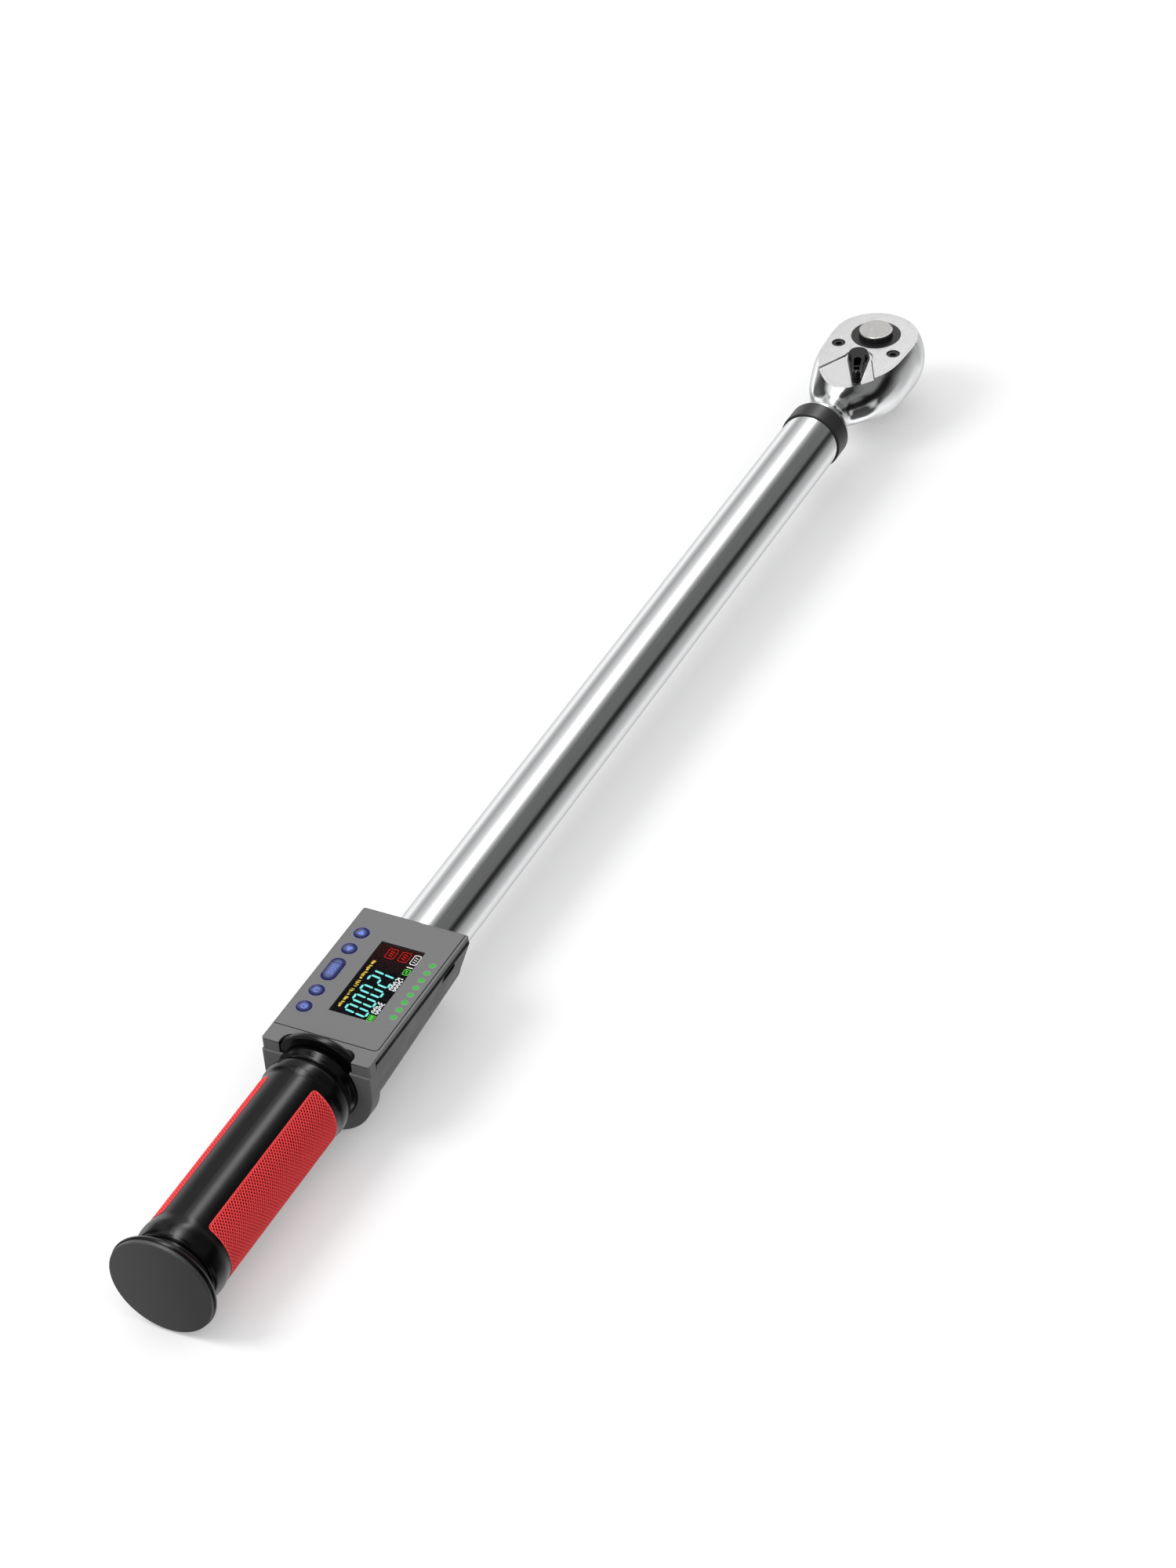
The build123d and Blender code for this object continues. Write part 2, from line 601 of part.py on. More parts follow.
def handle_core():
    """A spool: a ring and a groove in front, the grip, a waist and a flared end."""
    front = Spline((HANDLE_START + 2.4, 16.4), (530.4, 15.4), (533.7, 16.3), (538.6, 17.8),
                   tangents=[(1, -0.6), (1, 0)])
    shoulder = Spline((538.6, 17.8), (542.0, GRIP_R), tangents=[(1, 0), (1, 0)])
    swell = Spline((621.5, GRIP_R), (626.0, 17.8), (630.6, 17.5), (633.6, 16.0),
                   tangents=[(1, 0), (0.35, -1)])
    flare = Spline((635.2, 16.3), (636.8, 18.9), (638.8, 21.0), tangents=[(0.5, 1), (1, 0.7)])
    rim = Spline((638.8, 21.0), (640.1, 21.5), (641.0, 21.0), tangents=[(1, 0.7), (0.4, -1)])
    outline = [
        Line((HANDLE_START, 0), (HANDLE_START, 16.0)),
        Line((HANDLE_START, 16.0), (HANDLE_START + 0.5, 16.5)),
        Spline((HANDLE_START + 0.5, 16.5), (HANDLE_START + 2.4, 16.4), tangents=[(1, 0.2), (1, -0.6)]),
        front,
        shoulder,
        Line((542.0, GRIP_R), (621.5, GRIP_R)),
        swell,
        Line((633.6, 16.0), (635.2, 16.3)),
        flare,
        rim,
        Line((641.0, 21.0), (641.0, 0)),
        Line((641.0, 0), (HANDLE_START, 0)),
    ]
    core = turned(*outline)
    core -= rod_x(TUBE_R + 0.02, HANDLE_START - 1, 642)
    return core - insert_pocket(1, 0) - insert_pocket(-1, 0)


def grip_insert(side):
    """The rubber stands a little proud of the grip."""
    return insert_pocket(side, 0.08) & rod_x(GRIP_R + INSERT_PROUD, *INSERT)


def end_cap():
    x0, x1, radius = CAP_DISC
    disc = fillet(rod_x(radius, x0 + 0.02, x1).edges().group_by(Axis.X)[-1], 0.5)
    plug = rod_x(TUBE_BORE - 0.1, 629, x0 + 0.02)
    groove = rod_x(12, 633, 635.2) - rod_x(9.9, 633, 635.2)
    return disc + plug - groove


def cap_seal():
    return Pos(634.1, 0, 0) * Rot(0, 90, 0) * Torus(10.55, 0.65)


def battery_cell():
    x0, x1, radius = CELL
    can = fillet(rod_x(radius, x0, x1).edges(), 0.6)
    return can + rod_x(3.0, x0 - 1.2, x0 + 0.1)


def battery_sleeve():
    return rod_x(TUBE_BORE - 0.1, 557.3, 626) - rod_x(CELL[2] + 0.1, 557.3, 626)


def battery_contact():
    return rod_x(8.6, 557.5, 558.6)


def contact_spring():
    return Pos(CELL[1] + 0.15, 0, 0) * Rot(0, 90, 0) * spring_z(5.0, 0.35, 0, 4.2, 3)


PARTS = {
    "head_body": head_body,
    "cover_plate": cover_plate,
    "cover_screws": cover_screws,
    "thrust_washer": thrust_washer,
    "drive_gear": drive_gear,
    "release_button": release_button,
    "release_spring": release_spring,
    "detent_ball": detent_ball,
    "pawl": pawl,
    "reversing_lever": reversing_lever,
    "pawl_plunger": pawl_plunger,
    "plunger_spring": plunger_spring,
    "tube": tube,
    "tube_collar": tube_collar,
    "strain_beam": strain_beam,
    "strain_gauges": strain_gauges,
    "beam_bush": beam_bush,
    "beam_pin": beam_pin,
    "signal_cable": signal_cable,
    "battery_lead": battery_lead,
    "housing_shell": housing_shell,
    "clamp_screws": clamp_screws,
    "housing_cover": housing_cover,
    "cover_gasket": cover_gasket,
    "face_panel": face_panel,
    "display_window": display_window,
    "lcd_module": lcd_module,
    "circuit_board": circuit_board,
    "board_chips": board_chips,
    "buzzer": buzzer,
    "key_switches": key_switches,
    "level_lights": level_lights,
    "charging_port": charging_port,
    "end_frame": end_frame,
    "neck_ring": neck_ring,
    "handle_core": handle_core,
    "end_cap": end_cap,
    "cap_seal": cap_seal,
    "battery_cell": battery_cell,
    "battery_sleeve": battery_sleeve,
    "battery_contact": battery_contact,
    "contact_spring": contact_spring,
}

for part_name, make in PARTS.items():
    save(part_name, make())
for key_name in KEYS:
    save(key_name, key(key_name))
for insert_name, insert_side in (("left_grip_insert", 1), ("right_grip_insert", -1)):
    save(insert_name, grip_insert(insert_side))
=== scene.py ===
import math

import bpy
from mathutils import Matrix, Vector


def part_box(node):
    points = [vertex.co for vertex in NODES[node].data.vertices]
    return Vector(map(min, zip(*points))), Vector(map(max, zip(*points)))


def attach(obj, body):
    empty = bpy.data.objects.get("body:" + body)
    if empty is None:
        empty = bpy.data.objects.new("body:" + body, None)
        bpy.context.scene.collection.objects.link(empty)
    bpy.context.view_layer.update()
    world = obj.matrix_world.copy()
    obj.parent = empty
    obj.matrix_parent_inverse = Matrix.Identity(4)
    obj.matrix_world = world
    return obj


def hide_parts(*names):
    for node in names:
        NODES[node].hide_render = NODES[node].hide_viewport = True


# Looks of a digital torque wrench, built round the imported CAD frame. Lengths are in metres.
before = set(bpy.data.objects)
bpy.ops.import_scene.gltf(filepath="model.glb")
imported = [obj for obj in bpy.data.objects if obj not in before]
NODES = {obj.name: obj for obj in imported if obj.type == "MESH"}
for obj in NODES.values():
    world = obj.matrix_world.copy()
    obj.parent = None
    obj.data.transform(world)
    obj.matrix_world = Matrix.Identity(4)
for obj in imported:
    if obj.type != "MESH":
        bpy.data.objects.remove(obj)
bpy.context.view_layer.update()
MM = 0.001

# Camera: from the handle's end, on the side of the level lights
AIM = Vector((0.3262, 0.0131, 0.0086))
CAMERA_AZIMUTH = 29.16
CAMERA_ELEVATION = 38.48
CAMERA_ROLL = 4.77
CAMERA_DISTANCE = 1.724
CAMERA_LENS = 98.1
SENSOR = 36.0

# Places taken from the frame
AXIS_Z = (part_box("tube")[0].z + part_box("tube")[1].z) / 2
FACE_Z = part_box("cover_plate")[1].z
PANEL_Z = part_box("face_panel")[1].z
DISPLAY_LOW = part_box("display_window")[0]
KEYS = ("up_key", "down_key", "mode_key", "unit_key", "power_key")
LIGHT_COUNT = 8

# Rubber grips
GRIP_RADIUS = 17.35 * MM
GRIP_BED = 15.42 * MM
GRIP_HALF_ANGLE = math.radians(57.2)
GRIP_CORNER = 1.9 * MM
GRIP_BORDER = 0.7 * MM  # where the pits fade out, inside the outline
PIT_PITCH = (1.5 * MM, 1.9 * MM)  # along the grip and round it
PIT_HALF = (0.41, 0.38)  # a pit's half diagonals, as parts of the pitch
PIT_STEEPNESS = 2.2
PIT_DEPTH = 0.6 * MM

# The studio that the metal reflects, as (angle, level). The angle is taken round the tube, from
# +Y upwards, so each pair is the edge of a long panel beside, over or under the wrench.
STUDIO = [
    (-180, 1.1), (-140, 0.65), (-122, 0.3), (-105, 0.5), (-82, 0.78), (-60, 0.9), (-38, 0.55),
    (-14, 0.36), (-2, 0.12), (10, 0.015), (18, 0.03), (26, 0.14), (64, 0.15), (76, 0.36),
    (86, 0.9), (90, 2.2), (95, 5.0), (100, 6.5), (105, 5.0), (110, 2.2), (116, 1.05), (124, 0.78),
    (131, 0.64), (150, 0.4), (163, 0.6), (173, 0.95), (180, 1.1),
]
STUDIO_TOP = 8.0
STUDIO_END = 0.6  # plain walls at both ends, where all the panels would meet in a point
END_START = (0.75, 0.95)
CLUTTER_SCALE = 2.2  # dark and light shapes of the room, which only the head is curved enough to show
CLUTTER_EDGE = (0.42, 0.6)
CLUTTER_LEVEL = (0.12, 1.4)
CLUTTER_START = (-0.6, -0.3)
AMBIENT_LEVEL = 0.85
AMBIENT = [(-1.0, 0.3), (0.0, 0.45), (0.45, 1.0), (1.0, 1.0)]  # diffuse light, by the ray's height


class Graph:
    """Short calls that add nodes to one node tree."""

    def __init__(self, tree):
        self.tree = tree

    def node(self, kind, inputs=None, **settings):
        made = self.tree.nodes.new(kind)
        for name, value in settings.items():
            setattr(made, name, value)
        for socket, value in (inputs or {}).items():
            if isinstance(value, bpy.types.NodeSocket):
                self.tree.links.new(value, made.inputs[socket])
            else:
                made.inputs[socket].default_value = value
        return made

    def math(self, operation, a, b=0.0, c=0.0):
        return self.node("ShaderNodeMath", {0: a, 1: b, 2: c}, operation=operation).outputs[0]

    def product(self, first, *others):
        for other in others:
            first = self.math("MULTIPLY", first, other)
        return first

    def part(self, vector, letter):
        return self.node("ShaderNodeSeparateXYZ", {0: vector}).outputs[letter]

    def span(self, value, low, high, out_low=0.0, out_high=1.0):
        inputs = {"Value": value, "From Min": low, "From Max": high, "To Min": out_low, "To Max": out_high}
        return self.node("ShaderNodeMapRange", inputs).outputs[0]

    def blend(self, factor, a, b):
        return self.node("ShaderNodeMix", {0: factor, 2: a, 3: b}).outputs[0]

    def tint(self, factor, a, b):
        """A colour between a and b, each of them a colour or another node's output."""
        colours = [(*colour, 1) if isinstance(colour, tuple) else colour for colour in (a, b)]
        made = self.node("ShaderNodeMix", {0: factor, 6: colours[0], 7: colours[1]}, data_type="RGBA")
        return made.outputs[2]

    def ramp(self, value, low, high, stops, top):
        """A colour ramp over value, whose stops are (place, level) and whose output is level / top."""
        made = self.node("ShaderNodeValToRGB", {0: self.span(value, low, high)})
        ramp = made.color_ramp
        ramp.elements.remove(ramp.elements[-1])
        for place, level in stops:
            at = (place - low) / (high - low)
            stop = ramp.elements[0] if place == stops[0][0] else ramp.elements.new(at)
            stop.position = at
            stop.color = (level / top, level / top, level / top, 1)
        return made.outputs[0]


# ---------------------------------------------------------------- stage

def make_camera():
    data = bpy.data.cameras.new("camera")
    data.sensor_fit = "VERTICAL"
    data.sensor_width = SENSOR
    data.sensor_height = SENSOR
    data.lens = CAMERA_LENS
    data.clip_start = 0.05
    data.clip_end = 50
    azimuth = math.radians(CAMERA_AZIMUTH)
    elevation = math.radians(CAMERA_ELEVATION)
    roll = math.radians(CAMERA_ROLL)
    back = Vector((math.cos(elevation) * math.cos(azimuth),
                   math.cos(elevation) * math.sin(azimuth),
                   math.sin(elevation)))
    level = (-back).cross(Vector((0, 0, 1))).normalized()
    upright = level.cross(-back)
    right = level * math.cos(roll) - upright * math.sin(roll)
    up = back.cross(right)
    camera = bpy.data.objects.new("camera", data)
    bpy.context.scene.collection.objects.link(camera)
    place = Matrix((right, up, back)).transposed().to_4x4()
    place.translation = AIM + back * CAMERA_DISTANCE
    camera.matrix_world = place
    bpy.context.scene.camera = camera


def studio_room(sky, direction):
    """What metal reflects: the panels, plain walls at both ends, and clutter beyond the handle."""
    x, y, z = (sky.part(direction, letter) for letter in "XYZ")
    angle = sky.math("MULTIPLY", sky.math("ARCTAN2", z, y), math.degrees(1))
    panels = sky.ramp(angle, -180, 180, STUDIO, STUDIO_TOP)
    ends = sky.span(sky.math("ABSOLUTE", x), *END_START)
    walls = sky.tint(ends, panels, (STUDIO_END / STUDIO_TOP,) * 3)
    cloud = sky.node("ShaderNodeTexNoise", {"Vector": direction, "Scale": CLUTTER_SCALE, "Detail": 0.0})
    clutter = sky.span(cloud.outputs["Fac"], *CLUTTER_EDGE, *CLUTTER_LEVEL)
    amount = sky.blend(sky.span(x, *CLUTTER_START), 1.0, clutter)
    room = sky.node("ShaderNodeVectorMath", {0: walls, "Scale": amount}, operation="SCALE")
    return sky.node("ShaderNodeBackground", {"Color": room.outputs[0], "Strength": STUDIO_TOP}).outputs[0]


def make_world():
    """Broad white light from above, and for reflections a studio of long panels along the tube."""
    world = bpy.data.worlds.new("studio")
    bpy.context.scene.world = world
    world.use_nodes = True
    world.node_tree.nodes.clear()
    sky = Graph(world.node_tree)
    direction = sky.node("ShaderNodeTexCoord").outputs["Generated"]
    shade = sky.ramp(sky.part(direction, "Z"), -1, 1, AMBIENT, 1.0)
    ambient = sky.node("ShaderNodeBackground", {"Color": shade, "Strength": AMBIENT_LEVEL}).outputs[0]
    glossy = sky.node("ShaderNodeLightPath").outputs["Is Glossy Ray"]
    choice = sky.node("ShaderNodeMixShader", {0: glossy, 1: ambient, 2: studio_room(sky, direction)})
    sky.node("ShaderNodeOutputWorld", {0: choice.outputs[0]})


def softbox(name, place, target, size, power):
    data = bpy.data.lights.new(name, "AREA")
    data.shape = "DISK"
    data.size = size
    data.energy = power
    lamp = bpy.data.objects.new(name, data)
    bpy.context.scene.collection.objects.link(lamp)
    lamp.location = place
    lamp.rotation_euler = (Vector(target) - Vector(place)).to_track_quat("-Z", "Y").to_euler()
    lamp.visible_camera = False
    lamp.visible_glossy = False


def make_floor():
    """The wrench lies on the tip of its square and on the end frame, so the floor slopes a little."""
    tip = Vector((0, 0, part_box("drive_gear")[0].z))
    rest = Vector((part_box("end_frame")[1].x, 0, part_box("end_frame")[0].z))
    slope = math.atan2(rest.z - tip.z, rest.x - tip.x)
    size = 6.0
    corners = [(-size, -size, 0), (size, -size, 0), (size, size, 0), (-size, size, 0)]
    mesh = bpy.data.meshes.new("floor")
    mesh.from_pydata(corners, [], [(0, 1, 2, 3)])
    floor = bpy.data.objects.new("floor", mesh)
    bpy.context.scene.collection.objects.link(floor)
    floor.location = tip + Vector((0, 0, -0.1 * MM))
    floor.rotation_euler = (0, -slope, 0)
    paint = Finish("floor_white", Base_Color=(0.8, 0.8, 0.805, 1), Roughness=0.9, Specular_IOR_Level=0.1,
                   Emission_Color=(1, 1, 1, 1), Emission_Strength=0.2)
    paint.bump(paint.noise(400), 0.02 * MM)
    mesh.materials.append(paint.material)
    floor.visible_glossy = False
    floor.visible_diffuse = False


# ---------------------------------------------------------------- materials

class Finish(Graph):
    """A Principled material, with short calls for what most finishes need."""

    def __init__(self, name, **sockets):
        self.material = bpy.data.materials.new(name)
        self.material.use_nodes = True
        super().__init__(self.material.node_tree)
        self.shader = self.tree.nodes["Principled BSDF"]
        for socket, value in sockets.items():
            self.shader.inputs[socket.replace("_", " ")].default_value = value
        spots = self.node("ShaderNodeTexCoord")
        self.place = spots.outputs["Object"]
        self.normal = spots.outputs["Normal"]

    def feed(self, socket, value):
        self.tree.links.new(value, self.shader.inputs[socket])

    def noise(self, scale, stretch=(1, 1, 1), detail=2.0):
        mapping = self.node("ShaderNodeMapping", {"Vector": self.place, "Scale": stretch})
        inputs = {"Vector": mapping.outputs[0], "Scale": scale, "Detail": detail}
        return self.node("ShaderNodeTexNoise", inputs).outputs["Fac"]

    def axis(self, letter):
        return self.part(self.place, letter)

    def facing_up(self):
        return self.part(self.normal, "Z")

    def bump(self, height, depth):
        made = self.node("ShaderNodeBump", {"Height": height, "Distance": depth, "Strength": 1.0})
        self.feed("Normal", made.outputs[0])

    def roughen(self, grain, low, high):
        self.feed("Roughness", self.span(grain, 0.3, 0.7, low, high))

    def vary(self, grain, colour_a, colour_b, rough_a, rough_b):
        """Colour and roughness that drift together over the surface."""
        self.feed("Base Color", self.tint(grain, colour_a, colour_b))
        self.roughen(grain, rough_a, rough_b)


def polished_chrome():
    """Mirror plate with faint polishing lines along the tube."""
    paint = Finish("tube_chrome", Metallic=1.0)
    lines = paint.noise(900, (0.03, 1, 1), 3)
    paint.vary(lines, (0.80, 0.81, 0.82), (0.88, 0.885, 0.89), 0.07, 0.12)
    paint.bump(lines, 0.0006 * MM)
    return paint.material


def head_chrome():
    """Polished flanks, with the flat top blasted to a fine satin."""
    paint = Finish("head_chrome", Metallic=1.0)
    cloud = paint.noise(60)
    grain = paint.noise(2600)
    flat = paint.product(paint.math("GREATER_THAN", paint.facing_up(), 0.98),
                         paint.math("GREATER_THAN", paint.axis("Z"), FACE_Z - 0.8 * MM))
    satin = paint.tint(grain, (0.60, 0.60, 0.595), (0.76, 0.76, 0.75))
    bright = paint.tint(cloud, (0.82, 0.83, 0.84), (0.88, 0.885, 0.89))
    paint.feed("Base Color", paint.tint(flat, bright, satin))
    polish = paint.span(cloud, 0.3, 0.7, 0.08, 0.12)
    blast = paint.span(grain, 0.3, 0.7, 0.16, 0.30)
    paint.feed("Roughness", paint.blend(flat, polish, blast))
    paint.bump(paint.product(grain, flat), 0.03 * MM)
    return paint.material


def button_nickel():
    """A satin nickel top on a black turned side."""
    paint = Finish("button_nickel")
    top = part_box("release_button")[1].z
    cap = paint.math("GREATER_THAN", paint.axis("Z"), top - 0.7 * MM)
    grain = paint.noise(1800)
    nickel = paint.tint(grain, (0.45, 0.445, 0.43), (0.55, 0.545, 0.53))
    side = paint.tint(grain, (0.008, 0.008, 0.008), (0.02, 0.02, 0.02))
    paint.feed("Base Color", paint.tint(cap, side, nickel))
    paint.feed("Metallic", cap)
    paint.roughen(grain, 0.2, 0.28)
    paint.bump(grain, 0.003 * MM)
    return paint.material


def plastic(name, dark, light, rough, texture, depth, **sockets):
    """A moulding or a coating: a slow drift of shade over a fine texture."""
    paint = Finish(name, **sockets)
    paint.vary(paint.noise(90, detail=3.0), dark, light, *rough)
    paint.bump(paint.noise(texture), depth)
    return paint.material


def metal(name, dark, light, rough, stretch=(1, 1, 1), texture=1500, depth=0.004 * MM):
    """Bare metal, whose grain changes its shade, its gloss and its surface."""
    paint = Finish(name, Metallic=1.0)
    lines = paint.noise(texture, stretch)
    paint.vary(lines, dark, light, *rough)
    paint.bump(lines, depth)
    return paint.material


def cover_grey():
    """The cover's satin grey, with painted shade on the floor of the groove round the face panel."""
    paint = Finish("cover_grey")
    drift = paint.noise(90, detail=3.0)
    height = paint.axis("Z")
    # Painted shade: the groove's floor round the face panel is coloured near black.
    bed = paint.product(paint.math("LESS_THAN", height, PANEL_Z - 0.35 * MM),
                        paint.math("GREATER_THAN", height, PANEL_Z - 0.6 * MM),
                        paint.math("LESS_THAN", paint.math("ABSOLUTE", paint.axis("Y")), 22.3 * MM))
    grey = paint.tint(drift, (0.125, 0.125, 0.127), (0.145, 0.145, 0.147))
    paint.feed("Base Color", paint.tint(bed, grey, (0.01, 0.01, 0.01)))
    paint.roughen(drift, 0.45, 0.55)
    paint.bump(paint.noise(4200), 0.012 * MM)
    return paint.material


def shell_grey():
    """The shell's darker grey, with painted shade: near black inside the charging port's opening."""
    paint = Finish("shell_grey")
    drift = paint.noise(90, detail=3.0)
    port = centre_of("charging_port")
    off = paint.math("ABSOLUTE", paint.math("SUBTRACT", paint.axis("X"), port.x))
    # Painted shade: the shell's walls inside the charging port's opening are coloured near black, and made
    # rough.
    port_shade = paint.product(paint.math("LESS_THAN", off, 5.2 * MM),
                         paint.math("LESS_THAN", paint.axis("Y"), 21.9 * MM),
                         paint.math("GREATER_THAN", paint.axis("Z"), port.z - 1.9 * MM))
    grey = paint.tint(drift, (0.045, 0.045, 0.046), (0.06, 0.06, 0.061))
    paint.feed("Base Color", paint.tint(port_shade, grey, (0.002, 0.002, 0.002)))
    rough = paint.span(drift, 0.3, 0.7, 0.4, 0.5)
    paint.feed("Roughness", paint.math("MAXIMUM", rough, port_shade))
    paint.bump(paint.noise(4200), 0.012 * MM)
    return paint.material


def panel_grey():
    """The face panel: satin grey, its side walls painted black as shade in the groove and openings round it,
    and the keys' and the lights' glow painted on it.
    """
    paint = Finish("panel_grey", Emission_Strength=0.8)
    grain = paint.noise(3500)
    grey = paint.tint(grain, (0.13, 0.13, 0.132), (0.155, 0.155, 0.157))
    # Painted shade: every side wall of the panel is coloured near black.
    side_wall_shade = paint.math("LESS_THAN", paint.facing_up(), 0.7)
    paint.feed("Base Color", paint.tint(side_wall_shade, grey, (0.006, 0.006, 0.006)))
    paint.roughen(grain, 0.5, 0.62)
    paint.bump(grain, 0.006 * MM)
    # Painted light: the panel itself emits the keys' blue glow and the lights' green glow round them.
    blue = glow(paint, [centre_of(key) for key in KEYS], 2.9 * MM, 4.6 * MM)
    green = glow(paint, light_places(), 0.9 * MM, 2.0 * MM)
    shine = paint.tint(blue, (0.0, 0.0, 0.0), (0.01, 0.015, 0.16))
    paint.feed("Emission Color", paint.tint(green, shine, (0.02, 0.35, 0.03)))
    return paint.material


def centre_of(node):
    low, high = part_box(node)
    return (low + high) / 2


def light_places():
    low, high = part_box("level_lights")
    radius = (high.y - low.y) / 2
    step = (high.x - low.x - 2 * radius) / (LIGHT_COUNT - 1)
    return [Vector((low.x + radius + step * i, low.y + radius, high.z)) for i in range(LIGHT_COUNT)]


def glow(paint, places, inner, outer):
    """1 at each place out to inner, fading to 0 at outer."""
    total = 0.0
    for place in places:
        away = paint.node("ShaderNodeVectorMath", {0: paint.place, 1: place}, operation="DISTANCE")
        near = paint.span(away.outputs["Value"], inner, outer, 1.0, 0.0)
        total = paint.math("MAXIMUM", total, near)
    return paint.math("POWER", total, 2.0)


def key_blue(node):
    """Translucent blue that glows from within, brightest in the middle, with painted shade darkening it
    towards its edge.
    """
    paint = Finish(node + "_blue", Roughness=0.25, Specular_IOR_Level=0.2, Emission_Strength=0.8)
    low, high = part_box(node)
    centre = (low + high) / 2
    half = (high.x - low.x - (high.y - low.y)) / 2
    along = paint.math("ABSOLUTE", paint.math("SUBTRACT", paint.axis("X"), centre.x))
    along = paint.math("MAXIMUM", paint.math("SUBTRACT", along, half), 0.0)
    across = paint.math("SUBTRACT", paint.axis("Y"), centre.y)
    squares = paint.math("ADD", paint.product(along, along), paint.product(across, across))
    # Painted shade: the key darkens, and its glow dims, towards its edge.
    edge_shade = paint.span(paint.math("SQRT", squares), 1.2 * MM, 2.3 * MM)
    cloud = paint.noise(900)
    body = paint.tint(cloud, (0.06, 0.075, 0.12), (0.09, 0.11, 0.18))
    paint.feed("Base Color", paint.tint(edge_shade, body, (0.004, 0.006, 0.06)))
    paint.feed("Emission Color", paint.tint(edge_shade, (0.025, 0.035, 0.14), (0.002, 0.003, 0.04)))
    paint.bump(cloud, 0.01 * MM)
    return paint.material


def lit(name, colour, spread=0.1):
    """A lit mark, a little uneven like a lamp behind a diffuser."""
    paint = Finish(name, Roughness=0.4, Specular_IOR_Level=0.0, Emission_Strength=1.0)
    cloud = paint.noise(1500)
    deep = tuple(c * (1 - spread) for c in colour)
    paint.feed("Emission Color", paint.tint(cloud, deep, colour))
    paint.feed("Base Color", paint.tint(cloud, tuple(c * 0.2 for c in deep), tuple(c * 0.2 for c in colour)))
    return paint.material


def display_black():
    """The display's back: near black, warmer towards the head."""
    paint = Finish("display_black", Roughness=0.5, Specular_IOR_Level=0.0, Emission_Strength=0.6)
    warm = paint.product(paint.span(paint.axis("X"), DISPLAY_LOW.x, DISPLAY_LOW.x + 16 * MM, 1.0, 0.0),
                         paint.span(paint.noise(300), 0.2, 0.8, 0.7, 1.0))
    shade = paint.tint(warm, (0.002, 0.002, 0.003), (0.02, 0.004, 0.003))
    paint.feed("Base Color", shade)
    paint.feed("Emission Color", shade)
    return paint.material


def clear_window():
    """A thin clear cover with a little haze."""
    paint = Finish("display_clear", Roughness=0.06, Alpha=0.05)
    paint.feed("Base Color", paint.tint(paint.noise(500), (0.0, 0.0, 0.0), (0.02, 0.02, 0.022)))
    return paint.material


def cap_black():
    """The end disc's satin black, with painted light making it a little lighter towards the keys' side."""
    paint = Finish("cap_black")
    drift = paint.noise(40, detail=1.0)
    across = paint.math("ADD", paint.axis("Y"), paint.math("MULTIPLY", drift, 4 * MM))
    # Painted light: the disc is coloured lighter towards the keys' side and darker away from it.
    side = paint.span(across, -18 * MM, 16 * MM)
    paint.feed("Base Color", paint.tint(side, (0.085,) * 3, (0.045,) * 3))
    paint.roughen(drift, 0.38, 0.46)
    paint.bump(paint.noise(3000), 0.004 * MM)
    return paint.material


def grip_red():
    """Matt red rubber, with painted shade making its pits darker than its raised net."""
    paint = Finish("grip_red", Specular_IOR_Level=0.15)
    y = paint.axis("Y")
    z = paint.math("SUBTRACT", paint.axis("Z"), AXIS_Z)
    radius = paint.math("SQRT", paint.math("ADD", paint.product(y, y), paint.product(z, z)))
    # Painted shade: the grip is coloured dark red where its surface lies down in a pit.
    raised = paint.span(radius, GRIP_RADIUS - 0.5 * MM, GRIP_RADIUS - 0.05 * MM)
    cloud = paint.noise(800)
    net = paint.tint(cloud, (0.88, 0.06, 0.065), (0.98, 0.09, 0.095))
    paint.feed("Base Color", paint.tint(raised, (0.14, 0.003, 0.005), net))
    paint.roughen(cloud, 0.42, 0.55)
    paint.bump(paint.noise(6000), 0.006 * MM)
    return paint.material


# ---------------------------------------------------------------- pieces made here

def piece(name, points, faces, body, material):
    mesh = bpy.data.meshes.new(name)
    mesh.from_pydata(points, [], faces)
    mesh.validate()
    mesh.shade_flat()
    mesh.materials.append(material)
    made = bpy.data.objects.new(name, mesh)
    bpy.context.scene.collection.objects.link(made)
    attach(made, body)
    return made


def pit(x, c):
    """How deep the grip lies at x along it and c round it: 0 on the net, 1 in the middle of a pit."""
    best = 1.0
    for shift in (0.0, 0.5):
        u = (x / PIT_PITCH[0] + shift) % 1.0 - 0.5
        v = (c / PIT_PITCH[1] + shift) % 1.0 - 0.5
        best = min(best, abs(u) / PIT_HALF[0] + abs(v) / PIT_HALF[1])
    return max(0.0, min(1.0, (1.0 - best) * PIT_STEEPNESS))


